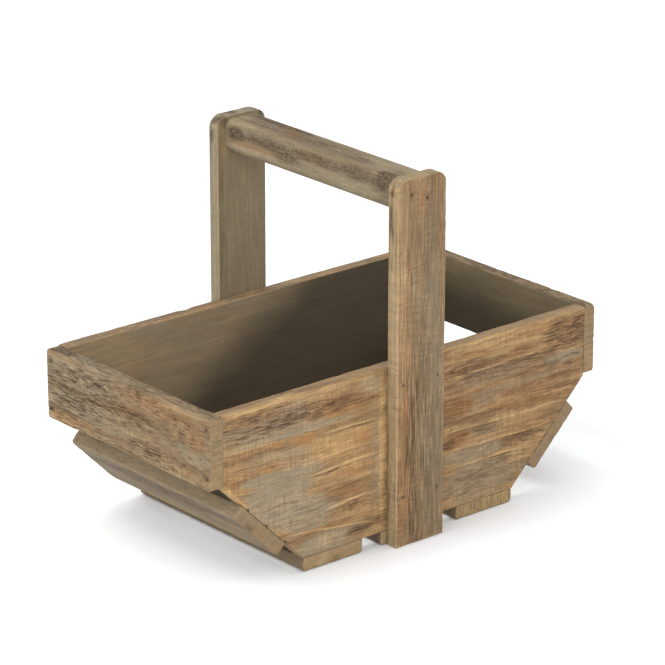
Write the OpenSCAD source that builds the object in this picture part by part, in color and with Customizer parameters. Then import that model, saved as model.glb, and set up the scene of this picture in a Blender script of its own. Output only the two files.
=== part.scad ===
// Wooden garden trug: a slatted box with boat-shaped sides and a fixed handle.
// X runs along the length, Y from front to back, and Z up from the ground.
// The origin is on the ground, under the middle of the basket.

/* [Box] */
// Length over the outer faces of the two end boards
overall_length = 400; // [340:1:480]
// Width over the outer faces of the two side boards
box_width = 208; // [160:1:280]
// Height of the rim above the ground
rim_height = 150; // [135:1:190]
// Length of the flat stretch of the side boards' lower edge
bottom_length = 220; // [200:1:260]
// Thickness of the two side boards
side_board_thickness = 12; // [10:0.5:16]
// Height of the two end boards
end_board_height = 60; // [45:1:75]
// Thickness of the two end boards
end_board_thickness = 12; // [9:0.5:16]
// Radius of the end boards' lower corners
end_board_corner = 5; // [2:0.5:10]

/* [Slats] */
// Width of each of the five slats
slat_width = 61; // [50:1:65]
// Thickness of each slat
slat_thickness = 12; // [9:0.5:15]
// Radius of the slats' two outer edges
slat_edge = 3; // [1:0.5:4]

/* [Handle] */
// Height of the two posts
post_height = 303; // [250:1:360]
// Width of the two posts
post_width = 50; // [44:1:60]
// Thickness of the two posts
post_thickness = 12; // [10:0.5:16]
// Radius of the posts' upper corners
post_corner = 10; // [4:0.5:16]
// Width of the rail that the hand holds
rail_width = 34; // [28:1:42]
// Height of the rail's section
rail_height = 28; // [24:1:34]
// Radius of the rail's four long edges
rail_edge = 8; // [4:0.5:11]
// Depth of the rail's top below the tops of the posts
rail_drop = 2; // [0:0.5:6]

/* [Nails] */
// Diameter of a nail's shank
nail_shank = 1.8; // [1.4:0.1:2.2]
// Diameter of a nail's head
nail_head = 2.8; // [2.6:0.1:4]
// Height of a nail's head
nail_head_height = 1.5; // [1:0.1:2.5]
// Length of a nail's point
nail_point = 2; // [1:0.1:3]
// Depth of a nail's head below the face of the wood
nail_sink = 1; // [0.4:0.1:2]
// Gap round a nail in its hole
nail_play = 0.1; // [0.05:0.01:0.2]
// Reach of a board nail into the edge of a side board
board_nail_bite = 18; // [12:0.5:20]
// Reach of a post nail into the face of a side board
post_nail_bite = 8; // [5:0.5:9]
// Reach of a handle nail into the end of the rail
handle_nail_bite = 28; // [20:0.5:40]

/* [Nail places] */
// Distance of an end board's nails from its upper and lower edges
end_nail_margin = 10; // [7:0.5:16]
// Distance between the two nails at one end of a slat
slat_nail_spacing = 34; // [24:1:40]
// Distance between the two nails side by side in a post
post_nail_spacing = 36; // [24:1:38]
// Depth of a post's upper board nails below the rim
post_nail_drop = 14; // [8:0.5:24]
// Height of a post's lower board nails above the side board's lower edge
post_nail_rise = 30; // [26:0.5:44]
// Distance between the two handle nails in a post
handle_nail_spacing = 16; // [10:0.5:18]
// Height of one handle nail above the other
handle_nail_stagger = 5; // [0:0.5:8]
// Shift of the two handle nails from the middle of the post
handle_nail_shift = -3; // [-5:0.5:5]

/* [Hidden] */

$fn = 48;

// Sides that a loop or a module runs through
LEFT = -1;
RIGHT = 1;
FRONT = -1;
BACK = 1;

// The side boards' outline
side_half = overall_length / 2 - end_board_thickness;
bottom_half = bottom_length / 2;
slope_top = rim_height - end_board_height;
slope_run = side_half - bottom_half;
slope_rise = slope_top - slat_thickness;
slope_angle = atan2(slope_rise, slope_run);

// Middle of a side board's thickness, where the board nails go in
side_middle = box_width / 2 - side_board_thickness / 2;

// The outer bottom slats end flush with the corners of the side boards
bottom_slat_x = bottom_half - slat_width / 2;

// Height of the middle of the rail
rail_middle = post_height - rail_drop - rail_height / 2;

// Nail lengths from the face of the head to the point
end_nail_length = end_board_thickness - nail_sink + board_nail_bite;
slat_nail_length = slat_thickness - nail_sink + board_nail_bite;
post_nail_length = post_thickness - nail_sink + post_nail_bite;
handle_nail_length = post_thickness - nail_sink + handle_nail_bite;

// Overshoot of a cut past the face that it opens
cut_over = 1;

side_colour = [0.66, 0.51, 0.35];
end_colour = [0.62, 0.50, 0.36];
slat_colour = [0.56, 0.49, 0.38];
post_colour = [0.64, 0.53, 0.40];
rail_colour = [0.60, 0.54, 0.42];
nail_colour = [0.25, 0.20, 0.17];

// A nail that points down, with the wood's face at z = 0
module nail(length) {
    shank_r = nail_shank / 2;
    head_r = nail_head / 2;
    translate([0, 0, -nail_sink])
        rotate_extrude()
            polygon([
                [0, 0],
                [head_r, 0],
                [head_r, -nail_head_height],
                [shank_r, -nail_head_height],
                [shank_r, nail_point - length],
                [0, -length],
            ]);
}

// The hole that the same nail leaves in the wood
module nail_hole(length) {
    head_depth = nail_sink + nail_head_height;
    hole_depth = nail_sink + length + nail_play;
    translate([0, 0, -head_depth])
        cylinder(d = nail_head + 2 * nail_play, h = head_depth + cut_over);
    translate([0, 0, -hole_depth])
        cylinder(d = nail_shank + 2 * nail_play, h = hole_depth + cut_over);
}

// Four nails of each end board, driven through it into the side boards
module at_end_nails(side) {
    heights = [slope_top + end_nail_margin, rim_height - end_nail_margin];
    for (y = [-side_middle, side_middle], z = heights)
        translate([side * overall_length / 2, y, z])
            rotate([0, side * 90, 0])
                children();
}

// Four nails of a slat, driven up through it into the side boards' edges
module at_slat_nails() {
    for (x = [-1, 1] * slat_nail_spacing / 2, y = [-side_middle, side_middle])
        translate([x, y, -slat_thickness])
            rotate([180, 0, 0])
                children();
}

// Four nails of a post, driven through it into the side board
module at_post_nails(side) {
    heights = [slat_thickness + post_nail_rise, rim_height - post_nail_drop];
    for (x = [-1, 1] * post_nail_spacing / 2, z = heights)
        translate([x, side * (box_width / 2 + post_thickness), z])
            rotate([-side * 90, 0, 0])
                children();
}

// Two nails of a post, driven through it into the rail's end
module at_handle_nails(side) {
    for (step = [-1, 1] / 2)
        translate([
            handle_nail_shift + step * handle_nail_spacing,
            side * (box_width / 2 + post_thickness),
            rail_middle - step * handle_nail_stagger,
        ])
            rotate([-side * 90, 0, 0])
                children();
}

// Sets a slat on the sloping cut of the side boards, its inner face at z = 0
module on_slope(side) {
    rotate([0, 0, side == RIGHT ? 0 : 180])
        translate([bottom_half + slope_run / 2, 0, slat_thickness + slope_rise / 2])
            rotate([0, -slope_angle, 0])
                children();
}

// Sets a slat under the flat stretch of the side boards, its inner face at z = 0
module on_bottom(x) {
    translate([x, 0, slat_thickness])
        children();
}

// Rectangle with round corners, centred
module rounded_section(width, height, radius) {
    square([width - 2 * radius, height], center = true);
    square([width, height - 2 * radius], center = true);
    for (x = [-1, 1], y = [-1, 1])
        translate([x * (width / 2 - radius), y * (height / 2 - radius)])
            circle(radius);
}

// Slat section: the inner edges square, the outer edges worn round
module slat_section() {
    flat_half = slat_width / 2 - slat_edge;
    translate([-flat_half, -slat_thickness])
        square([2 * flat_half, slat_thickness]);
    translate([-slat_width / 2, slat_edge - slat_thickness])
        square([slat_width, slat_thickness - slat_edge]);
    for (x = [-flat_half, flat_half])
        translate([x, slat_edge - slat_thickness])
            circle(slat_edge);
}

// End board face: the upper corners square, the lower corners worn round
module end_board_face() {
    flat_half = box_width / 2 - end_board_corner;
    translate([-flat_half, slope_top])
        square([2 * flat_half, end_board_height]);
    translate([-box_width / 2, slope_top + end_board_corner])
        square([box_width, end_board_height - end_board_corner]);
    for (y = [-flat_half, flat_half])
        translate([y, slope_top + end_board_corner])
            circle(end_board_corner);
}

// Post face: square at the foot, with round upper corners
module post_face() {
    flat_half = post_width / 2 - post_corner;
    translate([-flat_half, 0])
        square([2 * flat_half, post_height]);
    translate([-post_width / 2, 0])
        square([post_width, post_height - post_corner]);
    for (x = [-flat_half, flat_half])
        translate([x, post_height - post_corner])
            circle(post_corner);
}

// Side board face: upright ends, sloping cuts below them and a flat bottom
module side_board_face() {
    polygon([
        [-bottom_half, slat_thickness],
        [bottom_half, slat_thickness],
        [side_half, slope_top],
        [side_half, rim_height],
        [-side_half, rim_height],
        [-side_half, slope_top],
    ]);
}

module side_board(side) {
    color(side_colour)
        difference() {
            translate([0, side * side_middle, 0])
                rotate([90, 0, 0])
                    linear_extrude(side_board_thickness, center = true)
                        side_board_face();
            for (end = [LEFT, RIGHT]) {
                at_end_nails(end)
                    nail_hole(end_nail_length);
                on_slope(end)
                    at_slat_nails()
                        nail_hole(slat_nail_length);
            }
            for (x = [-bottom_slat_x, 0, bottom_slat_x])
                on_bottom(x)
                    at_slat_nails()
                        nail_hole(slat_nail_length);
            at_post_nails(side)
                nail_hole(post_nail_length);
        }
}

module end_board(side) {
    color(end_colour)
        difference() {
            translate([side * (overall_length - end_board_thickness) / 2, 0, 0])
                rotate([90, 0, 90])
                    linear_extrude(end_board_thickness, center = true)
                        end_board_face();
            at_end_nails(side)
                nail_hole(end_nail_length);
        }
}

module slat() {
    color(slat_colour)
        difference() {
            rotate([90, 0, 0])
                linear_extrude(box_width, center = true)
                    slat_section();
            at_slat_nails()
                nail_hole(slat_nail_length);
        }
}

module post(side) {
    color(post_colour)
        difference() {
            translate([0, side * (box_width + post_thickness) / 2, 0])
                rotate([90, 0, 0])
                    linear_extrude(post_thickness, center = true)
                        post_face();
            at_post_nails(side)
                nail_hole(post_nail_length);
            at_handle_nails(side)
                nail_hole(handle_nail_length);
        }
}

module front_side_board() {
    side_board(FRONT);
}

module back_side_board() {
    side_board(BACK);
}

module left_end_board() {
    end_board(LEFT);
}

module right_end_board() {
    end_board(RIGHT);
}

module left_sloping_slat() {
    on_slope(LEFT)
        slat();
}

module right_sloping_slat() {
    on_slope(RIGHT)
        slat();
}

module left_bottom_slat() {
    on_bottom(-bottom_slat_x)
        slat();
}

module centre_bottom_slat() {
    on_bottom(0)
        slat();
}

module right_bottom_slat() {
    on_bottom(bottom_slat_x)
        slat();
}

module front_post() {
    post(FRONT);
}

module back_post() {
    post(BACK);
}

module handle_rail() {
    color(rail_colour)
        difference() {
            translate([0, 0, rail_middle])
                rotate([90, 0, 0])
                    linear_extrude(box_width, center = true)
                        rounded_section(rail_width, rail_height, rail_edge);
            for (side = [FRONT, BACK])
                at_handle_nails(side)
                    nail_hole(handle_nail_length);
        }
}

module end_board_nails() {
    color(nail_colour)
        for (side = [LEFT, RIGHT])
            at_end_nails(side)
                nail(end_nail_length);
}

module sloping_slat_nails() {
    color(nail_colour)
        for (side = [LEFT, RIGHT])
            on_slope(side)
                at_slat_nails()
                    nail(slat_nail_length);
}

module bottom_slat_nails() {
    color(nail_colour)
        for (x = [-bottom_slat_x, 0, bottom_slat_x])
            on_bottom(x)
                at_slat_nails()
                    nail(slat_nail_length);
}

module post_nails() {
    color(nail_colour)
        for (side = [FRONT, BACK])
            at_post_nails(side)
                nail(post_nail_length);
}

module handle_nails() {
    color(nail_colour)
        for (side = [FRONT, BACK])
            at_handle_nails(side)
                nail(handle_nail_length);
}

front_side_board();
back_side_board();
left_end_board();
right_end_board();
left_sloping_slat();
right_sloping_slat();
left_bottom_slat();
centre_bottom_slat();
right_bottom_slat();
front_post();
back_post();
handle_rail();
end_board_nails();
sloping_slat_nails();
bottom_slat_nails();
post_nails();
handle_nails();
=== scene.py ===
"""Wooden trug basket: twelve nailed planks of old brushed pine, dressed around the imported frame.

Every plank is a dense closed mesh. Its grooves, ridges, knots, worn arrises and nail pits are real
shape, always cut inwards, so that each plank stays inside its own solid in the frame. The masks
that colour a plank come from the same fields as its relief, so colour and shape agree.
Lengths in this file are in millimetres, and meshes are written in metres.
"""

import logging
import math
from dataclasses import dataclass, field, replace
from enum import Enum
from typing import Callable, Iterator, Sequence

import bpy
import numpy as np
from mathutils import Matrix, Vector


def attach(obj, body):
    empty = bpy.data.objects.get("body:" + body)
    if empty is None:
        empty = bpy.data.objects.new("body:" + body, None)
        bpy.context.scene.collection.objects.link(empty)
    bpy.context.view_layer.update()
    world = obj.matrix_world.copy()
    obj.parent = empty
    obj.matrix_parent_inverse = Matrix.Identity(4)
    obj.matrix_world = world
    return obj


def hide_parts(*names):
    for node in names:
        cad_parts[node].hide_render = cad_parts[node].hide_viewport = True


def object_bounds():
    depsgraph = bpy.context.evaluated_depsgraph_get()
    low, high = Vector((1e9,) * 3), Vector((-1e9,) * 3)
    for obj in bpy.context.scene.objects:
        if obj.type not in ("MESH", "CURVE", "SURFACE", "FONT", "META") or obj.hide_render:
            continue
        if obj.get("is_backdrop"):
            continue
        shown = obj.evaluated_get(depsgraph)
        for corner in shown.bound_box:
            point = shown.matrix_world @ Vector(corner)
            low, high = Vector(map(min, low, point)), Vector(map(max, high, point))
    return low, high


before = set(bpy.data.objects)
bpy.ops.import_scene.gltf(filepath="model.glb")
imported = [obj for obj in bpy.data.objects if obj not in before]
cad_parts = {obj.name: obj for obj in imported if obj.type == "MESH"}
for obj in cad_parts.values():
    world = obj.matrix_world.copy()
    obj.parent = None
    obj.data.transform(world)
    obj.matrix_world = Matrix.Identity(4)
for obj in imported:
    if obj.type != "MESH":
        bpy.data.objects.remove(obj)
CAD_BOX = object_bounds()

LOG = logging.getLogger("trug")
MM = 0.001
PHOTO_SIDE = 665.0
Point = tuple[float, float]
Triple = tuple[float, float, float]
Shade = tuple[int, int, int]
Array = np.ndarray
Socket = bpy.types.NodeSocket
X_AXIS, Y_AXIS, Z_AXIS = (1.0, 0.0, 0.0), (0.0, 1.0, 0.0), (0.0, 0.0, 1.0)

# How the planks are meshed: lines this far in from each end, and at shares of a rounded arris.
EDGE_LINES = (0.12, 0.4, 0.8, 1.3, 2.0, 3.0)
ARRIS_SHARES = (0.15, 0.4, 0.7, 1.0)
LEAST_GAP = 0.24
PIT_REACH = 2.4
PIT_STEP = 0.48

# A plank stays true up to this far from a joint, where its arrises are sharp.
JOINT_FADE = (2.6, 0.8)
SHARP_ARRIS = 0.25

# Every point is cut in by at least this much, and the painted shade on inner faces fades out over this
# height.
LEAST_CUT = 0.02
PAINTED_SHADE_FADE = 60.0


# Choices


class Tone(Enum):
    """The masks that a plank carries: four colours, and how hard it was brushed."""

    GREY = 0
    WARM = 1
    CREAM = 2
    BROWN = 3
    ROUGH = 4


class Face(Enum):
    """Which broad face of a plank a mark lies on."""

    OUTER = 1
    INNER = -1
    BOTH = 0


class Side(Enum):
    """The sides of a plank that can lie against another piece."""

    ENDS = "ends"
    LOW = "low"
    INNER = "inner"


class Corner(Enum):
    """The four long arrises of a plank, as signs across and through it."""

    LOW_INNER = (-1, -1)
    LOW_OUTER = (-1, 1)
    HIGH_INNER = (1, -1)
    HIGH_OUTER = (1, 1)


# Small sums


def ramp(value: Array, low: float, high: float) -> Array:
    """A smooth step from 0 at low to 1 at high, or the other way round if low is the larger."""
    part = np.clip((value - low) / (high - low), 0.0, 1.0)
    return part * part * (3.0 - 2.0 * part)


def paint(red: int, green: int, blue: int) -> tuple[float, float, float, float]:
    """Turns a screen colour from 0 to 255 into the linear colour that a shader takes."""
    def linear(part: int) -> float:
        """One channel."""
        share = part / 255.0
        return share / 12.92 if share <= 0.04045 else ((share + 0.055) / 1.055) ** 2.4

    return (linear(red), linear(green), linear(blue), 1.0)


WHITE = (1.0, 1.0, 1.0, 1.0)


def added(name: str, data: bpy.types.ID) -> bpy.types.Object:
    """A new object of that name in the scene."""
    item = bpy.data.objects.new(name, data)
    bpy.context.scene.collection.objects.link(item)
    return item


def set_up(item: bpy.types.Object, place: Vector, look: Vector) -> None:
    """Puts a lamp or a camera in its place, looking that way."""
    item.location = place
    item.rotation_mode = "QUATERNION"
    item.rotation_quaternion = look.to_track_quat("-Z", "Y")


class Noise:
    """A smooth random field that gives the same numbers on every run."""

    GAIN = 1.7

    def __init__(self, seed: int) -> None:
        """Draws the lattice's order and slopes from the seed."""
        draw = np.random.default_rng(seed)
        order = draw.permutation(256).astype(np.int32)
        self.order = np.concatenate([order, order])
        slopes = draw.normal(size=(256, 3)).astype(np.float32)
        self.slopes = slopes / np.linalg.norm(slopes, axis=1, keepdims=True)

    def at(self, place: Array, cell: Triple, shift: float = 0.0) -> Array:
        """The field at some places.

        Args:
            place: rows of three coordinates in millimetres.
            cell: the size of one lattice cell along each coordinate.
            shift: moves the field, so that one seed serves several uses.

        Returns:
            One number a row, from about -1 to 1.
        """
        spot = place / np.asarray(cell, np.float32) + np.float32(shift)
        floor = np.floor(spot)
        part = (spot - floor).astype(np.float32)
        base = floor.astype(np.int32) & 255
        ease = part * part * part * (part * (part * 6.0 - 15.0) + 10.0)
        total = np.zeros(len(spot), np.float32)
        for i in (0, 1):
            along = ease[:, 0] if i else 1.0 - ease[:, 0]
            first = self.order[(base[:, 0] + i) & 255]
            for j in (0, 1):
                across = along * (ease[:, 1] if j else 1.0 - ease[:, 1])
                second = self.order[(first + base[:, 1] + j) & 255]
                for k in (0, 1):
                    share = across * (ease[:, 2] if k else 1.0 - ease[:, 2])
                    slope = self.slopes[self.order[(second + base[:, 2] + k) & 255]]
                    lean = (
                        slope[:, 0] * (part[:, 0] - i)
                        + slope[:, 1] * (part[:, 1] - j)
                        + slope[:, 2] * (part[:, 2] - k)
                    )
                    total += share * lean
        return total * self.GAIN


# Marks on the wood

# The share of a patch that shows even where its wood's fibres are bare.
SOLID = {Tone.GREY: 0.8, Tone.WARM: 0.65, Tone.CREAM: 0.5, Tone.BROWN: 0.72}


@dataclass(frozen=True)
class Patch:
    """A stained or weathered place.

    Its middle is given along and across the plank, then half its length and half its width.
    Tilt is how far it climbs across the plank for each millimetre along. A patch on a narrow
    or rounded face also has its middle and its half thickness through the plank, as deep.
    """

    tone: Tone
    along: float
    across: float
    reach: float
    spread: float
    strength: float = 0.7
    tilt: float = 0.0
    face: Face = Face.OUTER
    deep: Point | None = None

    def mask(self, place: Array, stray: Array, drift: Array) -> Array:
        """How strongly the patch covers each place, from 0 to 1."""
        far = (place[:, 0] - self.along) / self.reach
        side = (place[:, 1] - self.across - self.tilt * (place[:, 0] - self.along)) / self.spread
        far = far + 0.35 * stray
        side = side + 0.45 * drift
        edge = far * far + side * side
        if self.deep is not None:
            edge = edge + ((place[:, 2] - self.deep[0]) / self.deep[1] + 0.3 * drift) ** 2
        core = 0.7 if self.tone is Tone.GREY else 0.45
        return self.strength * ramp(np.sqrt(edge), 1.25, core)


@dataclass(frozen=True)
class Streak:
    """A narrow line along the grain, through a few points given along and across the plank."""

    path: tuple[Point, ...]
    width: float
    strength: float
    fade: float = 14.0

    def mask(self, place: Array, wander: Array, shift: float = 0.0) -> Array:
        """How strongly the line covers each place, from 0 to 1, when it is shifted across."""
        stations = np.array(sorted(self.path), np.float32)
        middle = np.interp(place[:, 0], stations[:, 0], stations[:, 1]) + shift
        off = np.abs(place[:, 1] - middle + 0.8 * wander) / self.width
        start = ramp(place[:, 0], stations[0, 0] - self.fade * 0.3, stations[0, 0] + self.fade)
        end = ramp(place[:, 0], stations[-1, 0] + self.fade * 0.3, stations[-1, 0] - self.fade)
        return self.strength * ramp(off, 1.0, 0.25) * start * end


@dataclass(frozen=True)
class Crack:
    """A thin open split along the grain."""

    path: tuple[Point, ...]
    width: float
    depth: float
    fade: float = 8.0


@dataclass(frozen=True)
class Knot:
    """A knot, which the grain parts round."""

    along: float
    across: float
    size: float


@dataclass(frozen=True)
class Swirl:
    """A place where the grain runs wild, such as the wood beside a knot."""

    along: float
    across: float
    reach: float
    spread: float
    throw: float


@dataclass(frozen=True)
class Chip:
    """A bruised or broken place on a corner, by its place along, across and through.

    Dark is how much of the pits' colour it takes.
    """

    along: float
    across: float
    through: float
    radius: float
    depth: float
    dark: float = 0.0


@dataclass(frozen=True)
class Pit:
    """A small round hole, such as the place where a nail's head was driven under the surface."""

    along: float
    across: float
    radius: float = 1.5
    depth: float = 1.35
    stain: float = 1.0


@dataclass(frozen=True)
class Joint:
    """A side that lies against another piece, where the plank stays true and unworn.

    It counts only further along from the plank's middle than beyond.
    """

    side: Side
    beyond: float = 0.0


@dataclass(frozen=True)
class Grain:
    """How one plank was cut, how hard it was brushed and how it weathered.

    The heart of the tree runs along the plank, at heart_across and heart_through from its
    middle. Rings are ring_gap apart, and rough is the share of the face that is deeply brushed.
    The edge values are for the narrow faces, the inner ones for the inner face. Painted shade
    darkens the inner face below a line, which climbs by a set amount for each millimetre along.
    """

    seed: int
    heart_across: float = 12.0
    heart_through: float = -70.0
    ring_gap: float = 7.0
    wander: float = 5.0
    rough: float = 0.45
    groove_depth: float = 0.42
    ring_depth: float = 0.22
    arris_wear: float = 0.5
    edge_grey: float = 0.5
    edge_brown: float = 0.2
    edge_plain: float = 0.0
    inner_grey: float = 0.75
    inner_painted_shade: float = 0.0
    inner_calm: float = 1.0
    painted_shade_line: float = 0.0
    painted_shade_rise: float = 0.0


@dataclass
class Plank:
    """One piece of wood as a dense closed mesh.

    The ranges are along the grain, across the plank and through it, where the outer face is the
    high end of through. The three axes turn these into the shared frame, from origin. Limits
    gives the plank's two ends at each place across it, when they aren't straight.
    """

    node: str
    slot: str
    along: Point
    across: Point
    through: Point
    axes: tuple[Triple, Triple, Triple]
    grain: Grain
    origin: Triple = (0.0, 0.0, 0.0)
    arris: dict[Corner, float] = field(default_factory=dict)
    plain_arris: float = 1.3
    end_arris: float = 1.2
    limits: Callable[[Array], tuple[Array, Array]] | None = None
    patches: tuple[Patch, ...] = ()
    streaks: tuple[Streak, ...] = ()
    cracks: tuple[Crack, ...] = ()
    knots: tuple[Knot, ...] = ()
    swirls: tuple[Swirl, ...] = ()
    chips: tuple[Chip, ...] = ()
    pits: tuple[Pit, ...] = ()
    joints: tuple[Joint, ...] = ()
    step_along: float = 2.2
    step_across: float = 0.75
    step_through: float = 1.0

    def build(self, finish: "WoodFinish") -> bpy.types.Object:
        """Makes the plank's mesh, dresses it and hangs it on the frame.

        Args:
            finish: the colours of this plank's wood.

        Returns:
            The plank's object, in place of its solid from the frame.
        """
        sharp, quads = self._block()
        joined = self._joined(sharp)
        place, edge = self._rounded(sharp, joined)
        normals = self._normals(place, quads)
        fields = WoodFields(self, place, edge, normals, joined)
        cut = place - normals * fields.depth[:, None] * (1.0 - joined)
        return self._object(cut, place, quads, fields, finish)

    @staticmethod
    def _lines(
        span: Point, step: float, margins: Sequence[float], pits: Sequence[float] = ()
    ) -> Array:
        """The grid's lines along one direction, closer together near the ends and at pits.

        Args:
            span: lowest and highest value.
            step: the usual gap.
            margins: distances from both ends at which a line is put.
            pits: middles of the pits, where the gaps are fine.

        Returns:
            The sorted lines.
        """
        low, high = span
        count = max(2, round((high - low) / (step * 1.0)))
        lines = list(np.linspace(low, high, count + 1))
        for margin in margins:
            lines += [low + margin, high - margin]
        for middle in pits:
            fine = np.arange(middle - PIT_REACH, middle + PIT_REACH + 0.1, PIT_STEP)
            lines += [value for value in fine if low < value < high]
        lines = np.array(sorted(lines))
        keep = [lines[0]]
        for value in lines[1:]:
            if value - keep[-1] > LEAST_GAP:
                keep.append(value)
        keep[-1] = high
        return np.array(keep, np.float32)

    def _block(self) -> tuple[Array, Array]:
        """The closed grid of a sharp block: its points and its four-sided faces."""
        big = max([*self.arris.values(), self.plain_arris])
        margins = [*EDGE_LINES, *[big * share for share in ARRIS_SHARES]]
        a = self._lines(self.along, self.step_along, EDGE_LINES, [p.along for p in self.pits])
        b = self._lines(self.across, self.step_across, margins, [p.across for p in self.pits])
        c = self._lines(self.through, self.step_through, margins)
        shell = np.zeros((len(a), len(b), len(c)), bool)
        shell[[0, -1]] = True
        shell[:, [0, -1]] = True
        shell[:, :, [0, -1]] = True
        number = np.full(shell.shape, -1, np.int64)
        spots = np.argwhere(shell)
        number[shell] = np.arange(len(spots))
        points = np.stack([a[spots[:, 0]], b[spots[:, 1]], c[spots[:, 2]]], 1).astype(np.float32)
        quads = []
        for sheet, turn in (
            (number[0], True), (number[-1], False),
            (number[:, 0], False), (number[:, -1], True),
            (number[:, :, 0], True), (number[:, :, -1], False),
        ):
            corners = [sheet[:-1, :-1], sheet[1:, :-1], sheet[1:, 1:], sheet[:-1, 1:]]
            if turn:
                corners.reverse()
            quads.append(np.stack([c.ravel() for c in corners], 1))
        return points, np.concatenate(quads)

    def _joined(self, sharp: Array) -> Array:
        """How close each point of the sharp block is to a joint, from 0 to 1 each way."""
        share = np.zeros((len(sharp), 3), np.float32)
        far = np.abs(sharp[:, 0] - sum(self.along) / 2)
        gaps = {
            Side.ENDS: (0, (self.along[1] - self.along[0]) / 2 - far),
            Side.LOW: (1, sharp[:, 1] - self.across[0]),
            Side.INNER: (2, sharp[:, 2] - self.through[0]),
        }
        for joint in self.joints:
            axis, gap = gaps[joint.side]
            near = ramp(gap, *JOINT_FADE) * ramp(far, joint.beyond - 2.0, joint.beyond)
            share[:, axis] = np.maximum(share[:, axis], near)
        return share

    def _rounded(self, sharp: Array, joined: Array) -> tuple[Array, Array]:
        """Rounds the block's arrises and fits its ends to the plank's outline.

        Args:
            sharp: the points of the sharp block.
            joined: how close each is to a joint, where the arrises stay sharp.

        Returns:
            The new points, and each one's distance to the nearest arris.
        """
        spans = (self.along, self.across, self.through)
        middle = np.array([sum(span) / 2 for span in spans], np.float32)
        half = np.array([(high - low) / 2 for low, high in spans], np.float32)
        off = sharp - middle
        radius = np.full(len(sharp), self.plain_arris, np.float32)
        for corner, size in self.arris.items():
            radius[(np.sign(off[:, 1:]) == corner.value).all(1)] = size
        radii = np.stack([np.minimum(radius, self.end_arris), radius, radius], 1)
        radii = radii + joined * (np.minimum(radii, SHARP_ARRIS) - radii)
        inner = np.clip(off, radii - half, half - radii)
        past = off - inner
        share = np.abs(past) / radii
        length = np.linalg.norm(share, axis=1)
        reach = share.max(1)
        scale = np.where(length > 1e-6, reach / np.maximum(length, 1e-6), 1.0)
        place = inner + past * scale[:, None]
        edge = np.sort(half - np.abs(off), axis=1)[:, 1]
        place = place + middle
        if self.limits is not None:
            low, high = self.limits(place[:, 1])
            part = (place[:, 0] - self.along[0]) / (self.along[1] - self.along[0])
            place[:, 0] = low + part * (high - low)
        return place.astype(np.float32), edge

    @staticmethod
    def _normals(place: Array, quads: Array) -> Array:
        """The outward direction at every point."""
        a, b, c, d = (place[corner] for corner in quads.T)
        flat = np.cross(c - a, d - b)
        total = np.zeros_like(place)
        for corner in quads.T:
            for axis in range(3):
                total[:, axis] += np.bincount(corner, flat[:, axis], len(place))
        return total / np.maximum(np.linalg.norm(total, axis=1, keepdims=True), 1e-9)

    def _object(
        self, cut: Array, place: Array, quads: Array, fields: "WoodFields", finish: "WoodFinish"
    ) -> bpy.types.Object:
        """Writes the mesh with its masks, hangs it on the frame's root and hides the solid that it
        replaces.
        """
        turn = np.array(self.axes, np.float32)
        world = (cut @ turn + np.array(self.origin, np.float32)) * MM
        if np.linalg.det(turn) < 0:
            quads = quads[:, ::-1]
        name = f"{self.node}_wood"
        mesh = bpy.data.meshes.new(name)
        mesh.vertices.add(len(world))
        mesh.vertices.foreach_set("co", world.astype(np.float32).ravel())
        mesh.loops.add(quads.size)
        mesh.loops.foreach_set("vertex_index", quads.ravel().astype(np.int32))
        mesh.polygons.add(len(quads))
        mesh.polygons.foreach_set("loop_start", np.arange(0, quads.size, 4, dtype=np.int32))
        mesh.update(calc_edges=True)
        mesh.validate()
        mesh.shade_smooth()
        for layer, values in fields.layers().items():
            masks = mesh.attributes.new(layer, "FLOAT_COLOR", "POINT")
            masks.data.foreach_set("color", values.astype(np.float32).ravel())
        spots = mesh.attributes.new("grain_place", "FLOAT_VECTOR", "POINT")
        spots.data.foreach_set("vector", (fields.bent * MM).astype(np.float32).ravel())
        mesh.materials.append(finish.material())
        piece = added(name, mesh)
        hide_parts(self.node)
        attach(piece, "root")
        LOG.info("%s: %d points, %d faces", name, len(world), len(quads))
        return piece


# What a plank's mesh carries


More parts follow.
